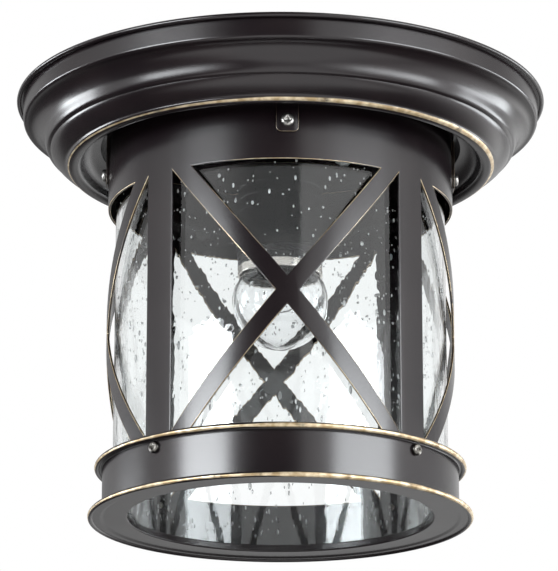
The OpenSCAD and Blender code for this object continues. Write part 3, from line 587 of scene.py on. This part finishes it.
# The seeds are marked here for the painted glint below.
painted_glint = shade.verts.layers.float.new("painted_glint")
for v in shade.verts[wall:]:
    v[painted_glint] = 1.0
seeded = Finish("seeded_glass")
ripple = seeded.noise(38, 2, place=seeded.stretched(1, 1, 0.28))
wave = seeded.noise(150, 2, place=seeded.stretched(1, 1, 0.45))
seeded.surface(colour=(0.965, 0.985, 0.985, 1), rough=0.0, clear=1.0, ior=1.5,
               normal=seeded.bump(ripple + 0.4 * wave, 0.0011, 0.13))
# Painted glint: a white diffuse film is mixed into the glass where the seeds are, so that they show as bright
# specks.
glint_paint = seeded.node("ShaderNodeBsdfDiffuse", inputs={"Color": (0.9, 0.92, 0.92, 1)})
in_seed = seeded.node("ShaderNodeAttribute", {"attribute_name": "painted_glint"}, output="Fac")
glint_painted_glass = seeded.node("ShaderNodeMixShader", inputs={0: 0.4 * in_seed, 1: seeded.shader, 2: glint_paint})
seeded.links.new(glint_painted_glass.socket, seeded.end.inputs["Surface"])
piece("seeded_cylinder", shade, seeded, "seeded_glass", angle=60)

silicone = Finish("milky_silicone")
silicone.surface(colour=silicone.mix(silicone.noise(90), (0.62, 0.62, 0.59, 1), (0.74, 0.74, 0.71, 1)),
                 rough=0.45 + 0.1 * silicone.noise(400), normal=silicone.bump(silicone.noise(700), 0.00004))
seat_in, seat_out, seat_t, seat_round = 72.1, 79.9, 1.5, 0.3
seat_top = tray_z + seat_t
seat_section = [
    (seat_in, tray_z + seat_round), (seat_in + seat_round, tray_z), (seat_out - seat_round, tray_z),
    (seat_out, tray_z + seat_round), (seat_out, seat_top - seat_round), (seat_out - seat_round, seat_top),
    (seat_in + seat_round, seat_top), (seat_in, seat_top - seat_round)]
piece("silicone_strip", turned(seat_section, 180), silicone, "glass_seat")

# ---- Lampholder ----
# A black phenolic cap and barrel screwed together round a porcelain insert with brass contacts.
# It hangs from the pan on a short hollow threaded rod. A nickel skirt, blackened above, rims its mouth.
phenolic = Finish("black_phenolic")
swirl = phenolic.noise(60, 4)
phenolic.surface(colour=phenolic.mix(swirl, (0.006, 0.006, 0.007, 1), (0.014, 0.013, 0.014, 1)),
                 rough=0.12 + 0.12 * swirl, normal=phenolic.bump(phenolic.noise(420, 3), 0.00003, 0.5))
holder_r, holder_bore, joint_r, nipple_r, groove_depth = 20.0, 17.5, 19.2, 5.05, 0.4
cap_top, cap_inside, joint_z, skirt_top, barrel_foot, mouth_z = -25.0, -30.5, -44.0, -75.2, -78.2, -86.2
shell_top, shell_foot, shell_bore, shell_r, shell_t = -47.0, -73.6, 15.2, 13.43, 0.4
groove_r, skirt_seat, barrel_in = holder_r - groove_depth, 19.35, 17.2
cap_section = (
    [(nipple_r, cap_top - 0.3), (nipple_r + 0.3, cap_top), (8.1, cap_top), (8.5, cap_top - 0.4), (9.0, -27.5)]
    + bezier((10, -29), (15, -30), (holder_r, -33), (holder_r, -38), 14)
    + [(holder_r, joint_z + 0.8), (groove_r, joint_z + 0.3), (joint_r, joint_z + 0.1), (joint_r, joint_z),
       (holder_bore, joint_z), (holder_bore, -34), (14.3, -32), (7.5, cap_inside), (nipple_r, cap_inside)])
grooves = [point for z in (-49.0, -55.0)
           for point in ((holder_r, z), (groove_r, z - 0.4), (groove_r, z - 1.0), (holder_r, z - 1.4))]
barrel_section = (
    [(holder_bore, joint_z), (joint_r, joint_z), (joint_r, joint_z - 0.1), (groove_r, joint_z - 0.3),
     (holder_r, joint_z - 0.8)]
    + grooves
    + [(holder_r, skirt_top + 0.3), (holder_r - 0.3, skirt_top), (skirt_seat, skirt_top),
       (skirt_seat, barrel_foot + 0.2), (joint_r, barrel_foot), (barrel_in, barrel_foot),
       (shell_bore, shell_foot), (shell_bore, shell_top), (holder_bore, shell_top)])
piece("holder_top", turned(cap_section, 96), phenolic, "holder_cap")
piece("holder_body", turned(barrel_section, 96), phenolic, "holder_barrel")
skirt_t, lip_curl = 0.6, 0.5
skirt_section = (
    [(holder_r - skirt_t, skirt_top), (holder_r - skirt_t, mouth_z + 1.2)]
    + arc((holder_r - lip_curl, mouth_z + lip_curl), lip_curl, lip_curl, 150, 360, 14)
    + [(holder_r, skirt_top - 0.15), (holder_r - 0.15, skirt_top)])
bright_mouth = Finish("skirt_nickel")
brushed = bright_mouth.noise(60, 3, place=bright_mouth.stretched(1, 1, 8))
black = bright_mouth.z.rise(-0.0822, -0.0819)
silver = bright_mouth.mix(brushed, (0.66, 0.62, 0.58, 1), (0.78, 0.74, 0.70, 1))
bright_mouth.surface(
    colour=bright_mouth.mix(black, silver, (0.012, 0.011, 0.012, 1)), metal=1 - black,
    rough=0.2 + 0.14 * brushed, normal=bright_mouth.bump(bright_mouth.noise(2000, 2), 0.00001, 0.4))
piece("mouth_skirt", turned(skirt_section, 96), bright_mouth, "holder_skirt")
for name, node in (("threaded_rod", "holder_nipple"), ("rod_washer", "nipple_washer"),
                   ("rod_nuts", "nipple_nuts")):
    dressed(name, zinc, node)

porcelain = Finish("glazed_porcelain")
body_clay = porcelain.noise(180, 3)
porcelain.surface(colour=porcelain.mix(body_clay, (0.76, 0.74, 0.68, 1), (0.84, 0.82, 0.77, 1)), rough=0.12,
                  coat=0.6, normal=porcelain.bump(body_clay, 0.00005, 0.4))
dressed("holder_core", porcelain, "holder_insert")
brass = Finish("bare_brass")
tarnish = brass.noise(220, 4)
brass.surface(colour=brass.mix(tarnish.rise(0.35, 0.75), (0.66, 0.46, 0.19, 1), (0.42, 0.27, 0.10, 1)),
              metal=1.0, rough=0.22 + 0.25 * tarnish, normal=brass.bump(brass.noise(1500), 0.00001, 0.5))
dressed("core_screws", brass, "contact_screws")
dressed("tip_spring", brass, "centre_contact")

thread_pitch, thread_wave = 3.629, 0.5475


def threaded(mean, low, high, rest, inner=0.0):
    """A tube with the lamp's rounded thread rolled into it. Its wave fades out at both ends."""
    rows = int((high - low) * 12 / thread_pitch)
    section = [(mean, low + (high - low) * i / rows) for i in range(rows + 1)]
    if inner:
        section += [(mean - inner, z) for r, z in section[::-1]]
    bm = turned(section if inner else [(0, low)] + section + [(0, high)], 60)
    for v in bm.verts:
        r = hypot(v.co.x, v.co.y)
        if r < 1:
            continue
        phase = 2 * pi * v.co.z / thread_pitch
        swing = (cos(phase) * v.co.x + sin(phase) * v.co.y) / r
        fade = min(1, (v.co.z - low) / thread_pitch, (high - v.co.z) / thread_pitch)
        grown = (r + thread_wave * (rest + fade * (swing - rest))) / r
        v.co = Vector((v.co.x * grown, v.co.y * grown, v.co.z))
    return bm


sleeve = threaded(shell_r, shell_foot, shell_top, 1, inner=shell_t)
piece("screw_sleeve", sleeve, brass, "screw_shell", angle=60)

# ---- Wiring ----
# A three-pole nylon terminal block with brass connectors stands on the pan behind the rod.
# Brown and blue leads drop through the rod to the holder, and the earth lead goes to a lug on the pan.
nylon = Finish("ivory_nylon")
nylon.surface(colour=nylon.mix(nylon.noise(120), (0.74, 0.72, 0.64, 1), (0.82, 0.80, 0.74, 1)),
              rough=0.4 + 0.1 * nylon.noise(500), normal=nylon.bump(nylon.noise(900), 0.00003, 0.6))
dressed("terminal_strip", nylon, "terminal_block")
dressed("strip_connectors", brass, "block_connectors")
for name, node in (("clamp_screws", "block_screws"), ("strip_screws", "block_fixings"),
                   ("strip_nuts", "block_nuts"), ("earth_tag", "earth_lug"), ("earth_bolt", "earth_screw"),
                   ("earth_bolt_nut", "earth_nut")):
    dressed(name, zinc, node)


def sleeved(name, plain, darker, stripe=None):
    f = Finish(name)
    tone = f.mix(f.noise(300), plain, darker)
    if stripe:
        along = (f.x * 900 + f.y * 700 + f.z * 1400).wave()
        tone = f.mix(along.rise(0.55, 0.7), tone, stripe)
    return f.surface(colour=tone, rough=0.42 + 0.1 * f.noise(800), normal=f.bump(f.noise(1100), 0.00003))


brown_sleeve = sleeved("brown_sleeve", (0.13, 0.055, 0.022, 1), (0.09, 0.036, 0.016, 1))
blue_sleeve = sleeved("blue_sleeve", (0.035, 0.13, 0.42, 1), (0.025, 0.09, 0.32, 1))
green_sleeve = sleeved("green_sleeve", (0.05, 0.22, 0.04, 1), (0.04, 0.17, 0.03, 1), (0.62, 0.55, 0.04, 1))
dressed("brown_wire", brown_sleeve, "live_lead", angle=70)
dressed("blue_wire", blue_sleeve, "neutral_lead", angle=70)
dressed("green_wire", green_sleeve, "earth_lead", angle=70)

# ---- Bulb ----
# A small clear globe with a rolled aluminium screw cap, a black vitrite ring and a solder tip.
# Inside, a glass stem holds two wires and the coiled filament between them.
cap_r, neck_r, cap_edge, cap_shut, ring_end, tip_end = 12.68, 12.13, -76.0, -56.5, -51.5, -49.5
aluminium = Finish("rolled_aluminium")
drawn = aluminium.noise(160, 4)
aluminium.surface(colour=aluminium.mix(drawn, (0.62, 0.60, 0.55, 1), (0.76, 0.74, 0.69, 1)), metal=1.0,
                  rough=0.22 + 0.14 * drawn, normal=aluminium.bump(aluminium.noise(900), 0.00002))
piece("rolled_cap", threaded(cap_r, cap_edge, cap_shut, -1), aluminium, "bulb_cap", angle=60)

vitrite = Finish("black_vitrite")
vitrite.surface(colour=vitrite.mix(vitrite.noise(300), (0.008, 0.008, 0.011, 1), (0.02, 0.02, 0.026, 1)),
                rough=0.1 + 0.1 * vitrite.noise(700), normal=vitrite.bump(vitrite.noise(900), 0.00003))
vitrite_section = [(0, cap_shut), (neck_r, cap_shut), (10.2, cap_shut + 1.9), (7.4, ring_end - 1.1),
                   (5, ring_end), (0, ring_end)]
piece("vitrite_ring", turned(vitrite_section, 72), vitrite, "bulb_insulator", angle=50)
solder = Finish("solder")
solder.surface(
    colour=solder.mix(solder.noise(700, 3), (0.38, 0.38, 0.38, 1), (0.55, 0.55, 0.54, 1)), metal=1.0,
    rough=0.35 + 0.2 * solder.noise(1200), normal=solder.bump(solder.noise(900, 3), 0.0001))
tip_r = 4.6
tip_dome = bezier((tip_r, ring_end + 0.6), (tip_r - 0.2, tip_end - 0.4), (3, tip_end), (0, tip_end), 10)
tip_section = [(0, ring_end), (tip_r, ring_end)] + tip_dome
piece("solder_tip", turned(tip_section, 48), solder, "bulb_tip", angle=50)

globe_r, globe_z, globe_t, lean = 22.5, -99.0, 0.8, radians(52)
shoulder = (globe_r * cos(lean), globe_z + globe_r * sin(lean))
above_shoulder = (shoulder[0] - 2 * sin(lean), shoulder[1] + 2 * cos(lean))
globe_path = (
    bezier((neck_r, cap_edge), (neck_r, cap_edge - 4), above_shoulder, shoulder, 12)
    + arc((0, globe_z), globe_r, globe_r, 48, -90, 40))
globe_inside = [(max(0.0, r), z) for r, z in offset(globe_path, globe_t)]
globe_path[-1], globe_inside[-1] = (0.0, globe_z - globe_r), (0.0, globe_z - globe_r + globe_t)
clear = Finish("bulb_glass")
clear.surface(colour=(0.99, 0.995, 1.0, 1), rough=0.0, clear=1.0, ior=1.45,
              normal=clear.bump(clear.noise(45), 0.0004, 0.15))
piece("globe", turned(globe_path[::-1] + globe_inside, 96), clear, "bulb_globe", angle=60)
flare_r, stem_r, stem_end = neck_r - globe_t, 2.4, -90.0
stem_section = (
    [(0, cap_edge), (flare_r, cap_edge)]
    + bezier((flare_r, cap_edge - 0.8), (5, cap_edge - 2), (3, cap_edge - 4), (stem_r, stem_end + 3), 14)
    + [(stem_r - 0.1, stem_end + 1.6), (stem_r - 0.6, stem_end + 0.3), (1.0, stem_end), (0, stem_end)])
piece("stem", turned(stem_section, 48), clear, "bulb_stem", angle=60)


def wire(name, paths, thickness, finish, node, sides=8):
    """Round wires along their paths, joined as one mesh, in millimetres."""
    line = bpy.data.curves.new(name, "CURVE")
    line.dimensions, line.use_fill_caps = "3D", True
    line.bevel_depth, line.bevel_resolution = thickness, sides // 4
    for points in paths:
        spline = line.splines.new("POLY")
        spline.points.add(len(points) - 1)
        for dot, p in zip(spline.points, points):
            dot.co = (*p, 1)
    tube = bpy.data.objects.new(name + "_line", line)
    bm = bmesh.new()
    bm.from_mesh(tube.to_mesh())
    bpy.data.objects.remove(tube)
    bmesh.ops.remove_doubles(bm, verts=bm.verts[:], dist=0.0005)
    bmesh.ops.recalc_face_normals(bm, faces=bm.faces[:])
    piece(name, bm, finish, node, angle=60)


steel_wire = Finish("drawn_wire")
steel_wire.surface(
    colour=steel_wire.mix(steel_wire.noise(900), (0.34, 0.33, 0.32, 1), (0.48, 0.47, 0.46, 1)), metal=1.0,
    rough=0.3 + 0.1 * steel_wire.noise(2000), normal=steel_wire.bump(steel_wire.noise(3000), 0.00001))
support_t, filament_t = 0.3, 0.09
support = [(1.1, stem_end), (1.1, stem_end - 2), (2.6, stem_end - 3.4), (6.4, -98), (7.5, -99.3), (8, -100)]
support_paths = [[(s * x, 0, z) for x, z in support] for s in (-1, 1)]
wire("support_wires", support_paths, support_t, steel_wire, "bulb_supports")
tungsten = Finish("tungsten")
tungsten.surface(
    colour=tungsten.mix(tungsten.noise(2000), (0.10, 0.10, 0.10, 1), (0.20, 0.195, 0.19, 1)), metal=1.0,
    rough=0.35 + 0.1 * tungsten.noise(4000), normal=tungsten.bump(tungsten.noise(4000), 0.00001))
coil_turns, turn_steps, coil_r, coil_half, coil_z, coil_sag = 45, 8, 0.33, 8, -100.5, 3
coil = []
for i in range(coil_turns * turn_steps + 1):
    t = i / (coil_turns * turn_steps)
    turn = 2 * pi * i / turn_steps
    middle = coil_z - coil_sag * sin(pi * t)
    coil.append((coil_half * (2 * t - 1), coil_r * cos(turn), middle + coil_r * sin(turn)))
wire("coiled_filament", [coil], filament_t, tungsten, "bulb_filament", 4)

# ---- Studio ----
# A pale floor, clear from beneath, lies under the lantern, and soft lamps stand left and right of the
# camera. The white backdrop is seen straight on and through the glass. The lacquer mirrors grey panels
# in its place, and a bright strip of floor.
ground_r, ground_z = 6.0, -1.2
floor_bm = bmesh.new()
bmesh.ops.create_circle(floor_bm, cap_ends=True, radius=ground_r, segments=96)
floor_mesh = bpy.data.meshes.new("floor")
floor_bm.to_mesh(floor_mesh)
floor_bm.free()
floor_mesh.transform(Matrix.Translation((0, 0, ground_z)))
floor = bpy.data.objects.new("floor", floor_mesh)
scene.collection.objects.link(floor)
paper = Finish("pale_paper")
paper.surface(colour=paper.mix(paper.noise(3), (0.78, 0.78, 0.78, 1), (0.82, 0.82, 0.82, 1)), rough=0.9)
strip = abs(paper.x - 0.1).rise(1.4, 0.6) * (0 - paper.y).rise(0.05, 0.45)
beyond = paper.y.rise(1.2, 2.6) * paper.x.rise(-0.9, 0.2)
under = paper.radius().rise(0.5, 0.05)
lit = 0.6 * strip + 0.65 * paper.x.rise(0.7, 2.4) + 0.24 * beyond + 0.15 * under
pool = paper.node("ShaderNodeMixShader", inputs={
    0: lit.clamped(), 1: paper.node("ShaderNodeEmission", inputs={"Strength": 0.1}),
    2: paper.node("ShaderNodeEmission", inputs={"Strength": 2.3})})
looked_at, mirror, through = (paper.node("ShaderNodeLightPath", output=f"Is {ray} Ray")
                              for ray in ("Camera", "Glossy", "Transmission"))
pale = paper.node("ShaderNodeMixShader", inputs={
    0: 0.7 * (looked_at + through).clamped(), 1: paper.shader, 2: paper.node("ShaderNodeEmission")})
top_face = paper.node("ShaderNodeMixShader", inputs={0: mirror * (1 - through), 1: pale, 2: pool})
from_beneath = paper.node("ShaderNodeNewGeometry", output="Backfacing") * (looked_at + through).clamped()
sheet = paper.node("ShaderNodeMixShader", inputs={
    0: from_beneath, 1: top_face, 2: paper.node("ShaderNodeBsdfTransparent")})
paper.links.new(sheet.socket, paper.end.inputs["Surface"])
floor_mesh.materials.append(paper.material)


cool_white, twin_gain, twin_gap = (0.93, 0.97, 1.0), 2.0, 0.01


def softbox(name, turn, rise, distance, width, height, radiance):
    """Two lamps at one place, turn degrees right of the front. One lights, the other shows in gloss."""
    level = cos(radians(rise))
    out = Vector((sin(radians(turn)) * level, -cos(radians(turn)) * level, sin(radians(rise))))
    for use, gain, nearer in (("light", 1.0, 0.0), ("mirrored", twin_gain, twin_gap)):
        lamp = bpy.data.lights.new(f"{name}_{use}", "AREA")
        lamp.shape, lamp.size, lamp.size_y = "RECTANGLE", width, height
        lamp.energy, lamp.color = gain * radiance * pi * width * height, cool_white
        stand = bpy.data.objects.new(lamp.name, lamp)
        stand.location = aim + (distance - nearer) * out
        stand.rotation_euler = out.to_track_quat("Z", "Y").to_euler()
        stand.visible_camera = False
        stand.visible_glossy = use == "mirrored"
        stand.visible_diffuse = stand.visible_transmission = use == "light"
        scene.collection.objects.link(stand)


softbox("left_key", turn=-50, rise=4.5, distance=1.3, width=0.72, height=0.42, radiance=10)
softbox("left_side", turn=-110, rise=0, distance=1.6, width=0.7, height=0.35, radiance=8)
softbox("right_key", turn=51, rise=4.5, distance=1.3, width=0.95, height=0.42, radiance=6.3)
softbox("right_side", turn=108, rise=-4, distance=1.6, width=1.1, height=0.4, radiance=4.5)

world = bpy.data.worlds.new("studio")
scene.world = world
sky = Tree(world)
toward = sky.node("ShaderNodeTexCoord", output="Generated")
split = sky.node("ShaderNodeSeparateXYZ", inputs={0: toward}).socket.node
across, away = Signal(split.outputs[0], sky), Signal(split.outputs[1], sky)
right, left = across.rise(0.16, 0.22), (0 - across).rise(0.30, 0.78)
mirrored = 0.12 + (1.6 * right + 1.15 * left) * (1 - 0.7 * away.rise(-0.3, 0.5)) + 0.3 * away.rise(0.2, 0.6)
rays = {name: sky.node("ShaderNodeLightPath", output=f"Is {name} Ray")
        for name in ("Camera", "Glossy", "Transmission")}
seen = (rays["Camera"] + rays["Transmission"]).clamped()
unseen = 0.55
level = unseen + rays["Glossy"] * (mirrored - unseen)
level = level + seen * (1.0 - level)
sky.node("ShaderNodeOutputWorld", inputs={"Surface": sky.node(
    "ShaderNodeBackground", inputs={"Color": (1, 1, 1, 1), "Strength": level})})
scene.cycles.max_bounces = scene.cycles.transmission_bounces = 28
